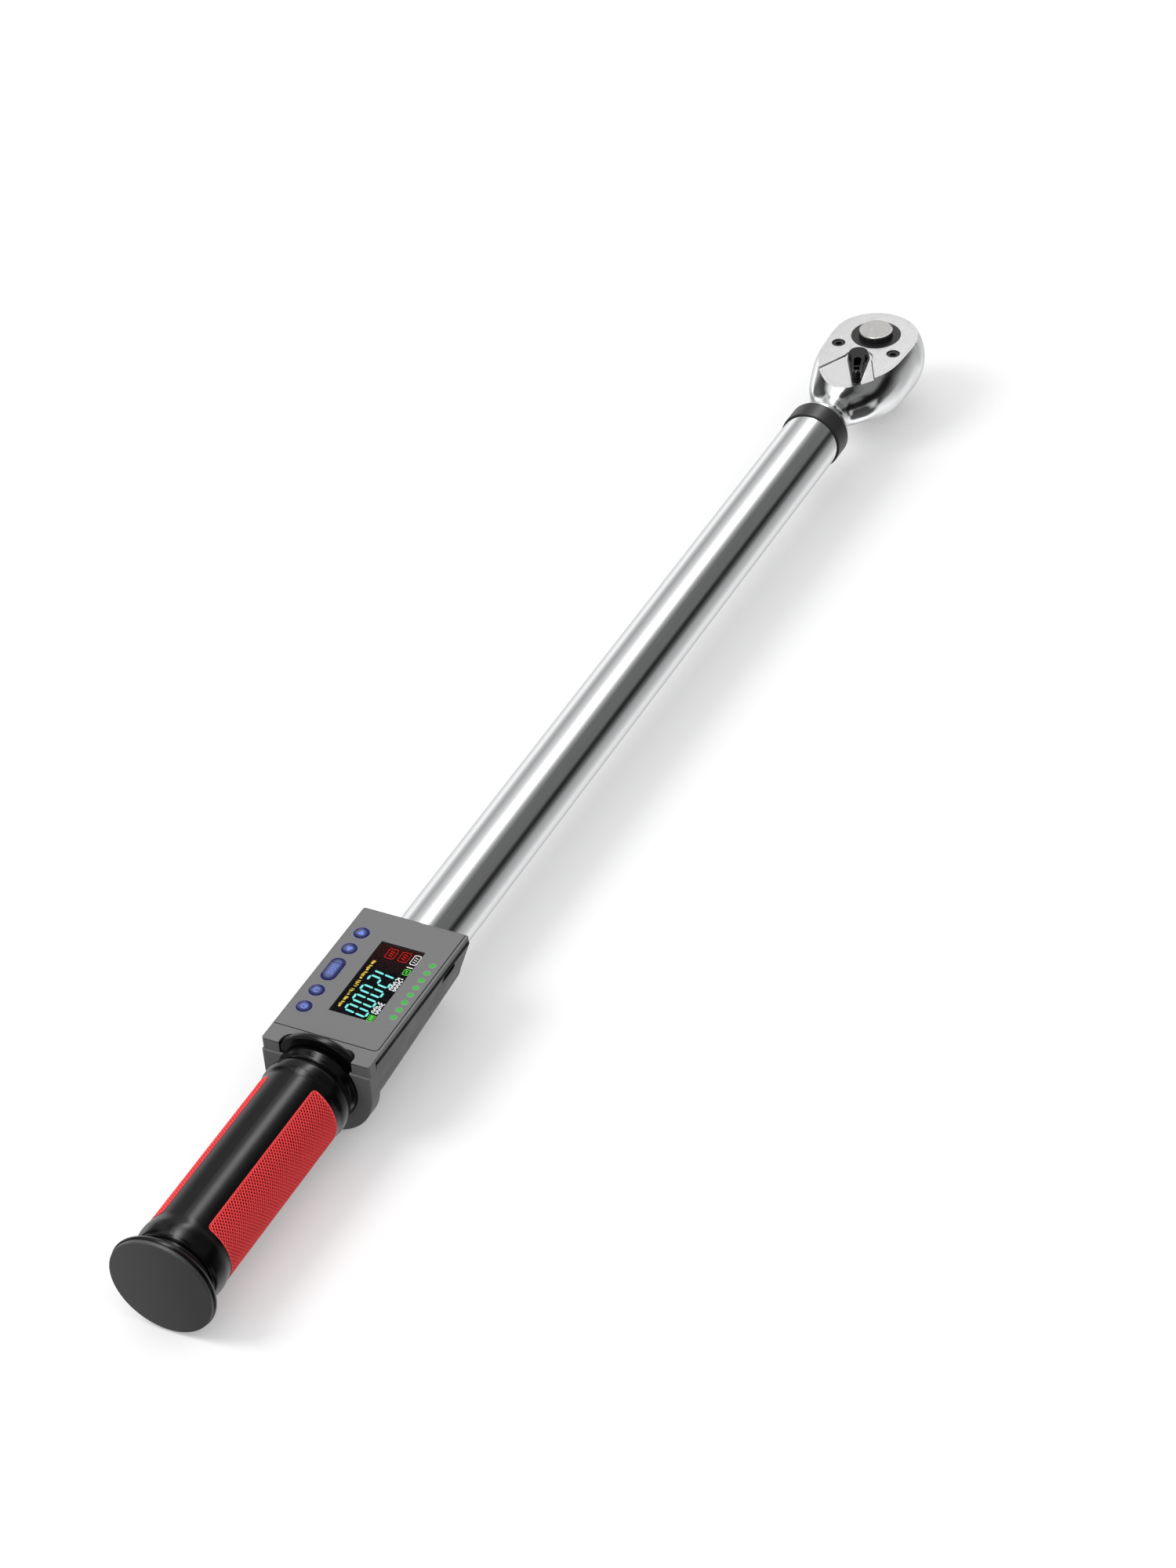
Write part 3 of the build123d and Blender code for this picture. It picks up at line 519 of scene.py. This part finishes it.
def grip_sleeve(name, node, side, material):
    """A red rubber insert with round corners and a net of raised rhombs round small pits."""
    low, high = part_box(node)
    length = high.x - low.x
    girth = 2 * GRIP_HALF_ANGLE * GRIP_RADIUS
    columns = round(length / PIT_PITCH[0]) * 6
    rows = round(girth / PIT_PITCH[1]) * 8

    def start_of(c):
        """Where the round-cornered outline starts along the grip, at c round it."""
        reach = GRIP_CORNER - min(c, girth - c, GRIP_CORNER)
        return GRIP_CORNER - math.sqrt(GRIP_CORNER * GRIP_CORNER - reach * reach)

    def point(i, k, r):
        """A point of the bed at radius r, or of the outer surface where r is None."""
        c = girth * k / rows
        begin = start_of(c)
        x = begin + (length - 2 * begin) * i / columns
        angle = c / GRIP_RADIUS - GRIP_HALF_ANGLE
        if r is None:
            edge = min(x - begin, length - begin - x, c, girth - c)
            fade = max(0.0, min(1.0, (edge - 0.2 * MM) / GRIP_BORDER))
            r = GRIP_RADIUS - PIT_DEPTH * pit(x, c) * fade
        return (low.x + x, side * r * math.cos(angle), AXIS_Z + r * math.sin(angle))

    across = rows + 1
    points = [point(i, k, None) for i in range(columns + 1) for k in range(across)]
    start = len(points)
    points += [point(i, k, GRIP_BED) for i in (0, columns) for k in range(across)]
    faces = []
    for i in range(columns):
        for k in range(rows):
            a = i * across + k
            faces.append((a, a + across, a + across + 1, a + 1))
    last = columns * across
    for k in range(rows):
        faces += [(k, k + 1, start + k + 1, start + k),
                  (last + k + 1, last + k, start + across + k, start + across + k + 1),
                  (start + k, start + k + 1, start + across + k + 1, start + across + k)]
    foot = [i * across for i in range(columns + 1)]
    crown = [i * across + rows for i in range(columns + 1)]
    faces += [(*foot[::-1], start, start + across), (*crown, start + across + rows, start + rows)]
    if side > 0:
        faces = [face[::-1] for face in faces]
    made = piece(name, points, faces, "wrench", material)
    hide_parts(node)


class Plate:
    """Thin flat marks laid on a level surface, gathered into one mesh."""

    def __init__(self, z, thickness=0.03 * MM):
        self.z = z
        self.thickness = thickness
        self.points = []
        self.faces = []

    def outline(self, corners):
        """A flat prism on the given (x, y) corners, which go anticlockwise."""
        count, start = len(corners), len(self.points)
        for z in (self.z, self.z + self.thickness):
            self.points += [(x, y, z) for x, y in corners]
        self.faces.append(tuple(start + i for i in range(count))[::-1])
        self.faces.append(tuple(start + count + i for i in range(count)))
        for i in range(count):
            j = (i + 1) % count
            self.faces.append((start + i, start + j, start + count + j, start + count + i))

    def stroke(self, a, b, width):
        """A bar with pointed ends from a to b."""
        a, b = Vector(a), Vector(b)
        along = (b - a).normalized() * width / 2
        side = Vector((-along.y, along.x))
        self.outline([tuple(a), tuple(a + along - side), tuple(b - along - side), tuple(b),
                      tuple(b - along + side), tuple(a + along + side)])

    def ring(self, centre, half_x, half_y, corner, width):
        """A rounded frame, made of a run of short bars."""
        turn = []
        for quarter, (sx, sy) in enumerate(((1, 1), (-1, 1), (-1, -1), (1, -1))):
            for step in range(5):
                angle = math.radians(90 * quarter + 22.5 * step)
                turn.append((centre[0] + sx * (half_x - corner) + corner * math.cos(angle),
                             centre[1] + sy * (half_y - corner) + corner * math.sin(angle)))
        centre = Vector(centre)
        for i, p in enumerate(turn):
            a, b = Vector(p), Vector(turn[(i + 1) % len(turn)])
            if (b - a).length < 1e-6:
                continue
            inner_a = centre + (a - centre) * (1 - width / (a - centre).length)
            inner_b = centre + (b - centre) * (1 - width / (b - centre).length)
            self.outline([tuple(a), tuple(b), tuple(inner_b), tuple(inner_a)])

    def make(self, name, body, material):
        return piece(name, self.points, self.faces, body, material)


# Segments and strokes of the display's digits and units, on a unit square
SEGMENTS = {"a": ((0, 1), (1, 1)), "b": ((1, 0.5), (1, 1)), "c": ((1, 0), (1, 0.5)), "d": ((0, 0), (1, 0)),
            "e": ((0, 0), (0, 0.5)), "f": ((0, 0.5), (0, 1)), "g": ((0, 0.5), (1, 0.5))}
DIGITS = {"0": "abcdef", "1": "bc", "2": "abged", "3": "abgcd", "4": "fgbc"}
UNIT_STROKES = {
    "N": [(0, 0, 0, 1), (0, 1, 1, 0), (1, 0, 1, 1)],
    "m": [(0, 0, 0, 0.6), (0, 0.6, 1, 0.6), (0.5, 0, 0.5, 0.6), (1, 0, 1, 0.6)],
    "k": [(0, 0, 0, 1), (0, 0.35, 0.8, 0.7), (0.3, 0.5, 0.8, 0)],
    "g": [(0, 0, 0, 0.6), (0, 0.6, 0.8, 0.6), (0, 0, 0.8, 0), (0.8, -0.25, 0.8, 0.6)],
    "l": [(0.3, 0, 0.3, 1)],
    "b": [(0, 0, 0, 1), (0, 0, 0.8, 0), (0.8, 0, 0.8, 0.6), (0, 0.6, 0.8, 0.6)],
    "f": [(0.3, 0, 0.3, 1), (0.3, 1, 0.9, 1), (0, 0.6, 0.8, 0.6)],
    "t": [(0.4, 0, 0.4, 1), (0, 0.7, 0.9, 0.7)],
    "i": [(0.3, 0, 0.3, 0.6)],
    "n": [(0, 0, 0, 0.6), (0, 0.6, 0.8, 0.6), (0.8, 0, 0.8, 0.6)],
    "c": [(0, 0, 0, 0.6), (0, 0.6, 0.8, 0.6), (0, 0, 0.8, 0)],
}
UNITS = ("Nm", "kgm", "kgcm", "lbft", "lbin", "Nm", "kgm")


def on_display(u, v):
    """A point of the display, in millimetres from its corner at the head's side and the keys' side."""
    return (DISPLAY_LOW.x + u * MM, DISPLAY_LOW.y + v * MM)


def digit(plate, value, u, v, width, height, bar, slant, gap):
    """A seven-segment digit whose foot is at u, v and whose top leans along the display."""
    for name in DIGITS[value]:
        ends = []
        for fx, fy in SEGMENTS[name]:
            ends.append((u + fx * width + fy * height * slant, v + fy * height))
        a, b = Vector(ends[0]), Vector(ends[1])
        trim = (b - a).normalized() * bar * gap
        plate.stroke(on_display(*(a + trim)), on_display(*(b - trim)), bar * MM)


def large_reading(z):
    plate = Plate(z)
    for i, value in enumerate("12000"):
        digit(plate, value, 12.3 + 5.85 * i, 5.0, 3.2, 9.4, 0.9, 0.15, 0.3)
    plate.outline([on_display(*p) for p in ((29.9, 4.5), (30.6, 4.5), (30.6, 5.2), (29.9, 5.2))])
    plate.make("display_reading", "wrench", lit("cyan_segments", (0.22, 0.86, 0.80)))


def small_readings(z):
    """The range's two ends and a framed sign, along the lights' side."""
    plate = Plate(z)
    for text, start in (("12000", 14.9), ("3400", 30.6)):
        for i, value in enumerate(text):
            digit(plate, value, start + 1.75 * i, 15.2, 1.0, 2.7, 0.52, 0.1, 0.12)
    plate.stroke(on_display(9.2, 15.4), on_display(9.2, 18.2), 0.5 * MM)
    plate.ring(on_display(4.6, 16.9), 2.9 * MM, 1.5 * MM, 0.9 * MM, 0.42 * MM)
    for u in (3.2, 4.4, 5.6):
        plate.stroke(on_display(u, 16.1), on_display(u + 0.5, 17.7), 0.32 * MM)
    plate.make("display_small_readings", "wrench", lit("white_segments", (0.85, 0.9, 0.9)))


def unit_row(z):
    """Small unit signs in a row along the keys' side."""
    plate = Plate(z)
    width, height = 0.75, 1.5
    u, v = 10.6, 1.7
    for word in UNITS:
        for letter in word:
            for x0, y0, x1, y1 in UNIT_STROKES[letter]:
                plate.stroke(on_display(u + x0 * width, v + y0 * height),
                             on_display(u + x1 * width, v + y1 * height), 0.3 * MM)
            u += 1.08
        u += 0.72
    plate.make("display_units", "wrench", lit("yellow_segments", (0.85, 0.62, 0.08)))


def red_signs(z):
    plate = Plate(z)
    for v in (6.6, 12.2):
        plate.ring(on_display(4.6, v), 2.8 * MM, 2.0 * MM, 0.8 * MM, 0.3 * MM)
        for u in (3.4, 4.6, 5.8):
            plate.stroke(on_display(u - 0.3, v - 1.0), on_display(u + 0.3, v + 1.0), 0.4 * MM)
    plate.make("display_red_signs", "wrench", lit("red_segments", (0.62, 0.012, 0.008)))


def green_signs(z):
    """A round sign by the small reading, and a battery with three bars at the handle's end."""
    plate = Plate(z)
    plate.ring(on_display(12.0, 16.9), 1.7 * MM, 1.35 * MM, 0.7 * MM, 0.35 * MM)
    for u in (11.4, 12.3):
        plate.stroke(on_display(u, 16.3), on_display(u + 0.2, 17.5), 0.5 * MM)
    plate.ring(on_display(40.0, 16.8), 1.75 * MM, 1.3 * MM, 0.4 * MM, 0.3 * MM)
    for u in (38.9, 39.75, 40.6):
        plate.stroke(on_display(u, 15.9), on_display(u + 0.3, 17.7), 0.6 * MM)
    plate.make("display_green_signs", "wrench", lit("green_segments", (0.12, 0.75, 0.08)))


def display_marks():
    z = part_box("lcd_module")[1].z + 0.02 * MM
    for marks in (large_reading, small_readings, unit_row, red_signs, green_signs):
        marks(z)


def arrow_sign(plate, x, y, way):
    tip = (x + way * 1.5 * MM, y)
    base = x - way * 0.9 * MM
    plate.outline([tip, (base, y + way * 1.3 * MM), (base, y - way * 1.3 * MM)])


def mode_sign(plate, x, y):
    for step in (-2.2, 0.0, 2.2):
        plate.ring((x + step * MM, y), 0.75 * MM, 0.95 * MM, 0.5 * MM, 0.3 * MM)


def unit_sign(plate, x, y):
    back, front, side = x - 1.1 * MM, x + 0.9 * MM, 0.9 * MM
    plate.stroke((back, y - side), (back, y + side), 0.4 * MM)
    plate.stroke((back, y - side), (front, y - side), 0.4 * MM)
    plate.stroke((front, y - side), (front, y + side), 0.4 * MM)


def power_sign(plate, x, y):
    plate.ring((x, y), 1.25 * MM, 1.25 * MM, 1.2 * MM, 0.35 * MM)
    plate.stroke((x, y - 0.1 * MM), (x, y + 1.1 * MM), 0.4 * MM)


def key_marks():
    """A lighter sign moulded in each key's top."""
    material = lit("key_sign", (0.19, 0.28, 0.85), 0.2)
    signs = {
        "up_key": lambda plate, x, y: arrow_sign(plate, x, y, -1),
        "down_key": lambda plate, x, y: arrow_sign(plate, x, y, 1),
        "mode_key": mode_sign,
        "unit_key": unit_sign,
        "power_key": power_sign,
    }
    for node in KEYS:
        centre = centre_of(node)
        plate = Plate(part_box(node)[1].z - 0.34 * MM, 0.12 * MM)
        signs[node](plate, centre.x, centre.y)
        plate.make(node + "_sign", node.replace("_key", "_cap"), material)


# ---------------------------------------------------------------- the wrench

def paint_nodes(material, *nodes):
    for node in nodes:
        for holder in NODES[node].material_slots:
            holder.material = material


def paint_head_and_tube():
    paint_nodes(polished_chrome(), "tube")
    paint_nodes(head_chrome(), "head_body")
    paint_nodes(metal("face_satin", (0.60,) * 3, (0.76,) * 3, (0.16, 0.30), texture=2600, depth=0.03 * MM),
                "cover_plate")
    paint_nodes(button_nickel(), "release_button")
    paint_nodes(metal("bright_steel", (0.55, 0.55, 0.56), (0.75, 0.75, 0.76), (0.2, 0.32)),
                "detent_ball", "release_spring", "plunger_spring", "pawl_plunger", "contact_spring",
                "thrust_washer")
    paint_nodes(metal("ground_steel", (0.38, 0.38, 0.39), (0.5, 0.5, 0.51), (0.3, 0.42), (0.05, 1, 1)),
                "pawl", "strain_beam", "beam_bush", "beam_pin")
    # The charging port is painted black oxide as painted shade in its hole; the gear and the screws are black
    # oxide.
    paint_nodes(plastic("black_oxide", (0.008,) * 3, (0.016,) * 3, (0.25, 0.35), 1200, 0.004 * MM,
                        Specular_IOR_Level=0.3),
                "drive_gear", "cover_screws", "clamp_screws", "charging_port")
    paint_nodes(plastic("collar_black", (0.012,) * 3, (0.02,) * 3, (0.32, 0.42), 2200, 0.004 * MM),
                "tube_collar")
    paint_nodes(plastic("gauge_film", (0.6, 0.38, 0.1), (0.7, 0.46, 0.15), (0.3, 0.4), 1500, 0.004 * MM),
                "strain_gauges")
    paint_nodes(plastic("cable_jacket", (0.01,) * 3, (0.02,) * 3, (0.45, 0.55), 2500, 0.008 * MM),
                "signal_cable", "battery_lead")


def paint_box():
    paint_nodes(plastic("housing_grey", (0.115, 0.115, 0.117), (0.135, 0.135, 0.137), (0.45, 0.55), 4200,
                        0.012 * MM),
                "end_frame")
    paint_nodes(cover_grey(), "housing_cover")
    paint_nodes(shell_grey(), "housing_shell")
    paint_nodes(panel_grey(), "face_panel")
    paint_nodes(clear_window(), "display_window")
    paint_nodes(display_black(), "lcd_module")
    paint_nodes(plastic("board_green", (0.01, 0.09, 0.03), (0.02, 0.14, 0.05), (0.3, 0.4), 1200, 0.01 * MM),
                "circuit_board")
    paint_nodes(plastic("moulded_black", (0.012,) * 3, (0.02,) * 3, (0.4, 0.5), 3000, 0.006 * MM),
                "board_chips", "buzzer", "key_switches")
    paint_nodes(lit("level_green", (0.06, 0.5, 0.07), 0.25), "level_lights")
    paint_nodes(plastic("seal_rubber", (0.003,) * 3, (0.006,) * 3, (0.55, 0.7), 3000, 0.01 * MM,
                        Specular_IOR_Level=0.1),
                "cover_gasket", "cap_seal")
    for node in KEYS:
        paint_nodes(key_blue(node), node)


def paint_handle():
    paint_nodes(plastic("gloss_black", (0.001,) * 3, (0.003,) * 3, (0.15, 0.2), 1500, 0.001 * MM,
                        Specular_IOR_Level=0.3),
                "reversing_lever", "neck_ring", "handle_core")
    paint_nodes(cap_black(), "end_cap")
    paint_nodes(plastic("battery_wrap", (0.03, 0.09, 0.3), (0.05, 0.12, 0.38), (0.25, 0.35), 900, 0.004 * MM),
                "battery_cell", "battery_sleeve")
    paint_nodes(metal("contact_brass", (0.6, 0.45, 0.2), (0.75, 0.58, 0.3), (0.25, 0.35)), "battery_contact")


make_camera()
make_world()
make_floor()
MIDDLE = (0.33, 0, 0)
softbox("key_light", (1.1, -1.1, 1.5), MIDDLE, 1.0, 16)
softbox("fill_light", (0.9, 1.4, 1.2), MIDDLE, 1.6, 3)
paint_head_and_tube()
paint_box()
paint_handle()
red_rubber = grip_red()
grip_sleeve("left_grip", "left_grip_insert", 1, red_rubber)
grip_sleeve("right_grip", "right_grip_insert", -1, red_rubber)
display_marks()
key_marks()
bpy.context.scene.view_settings.view_transform = "Standard"
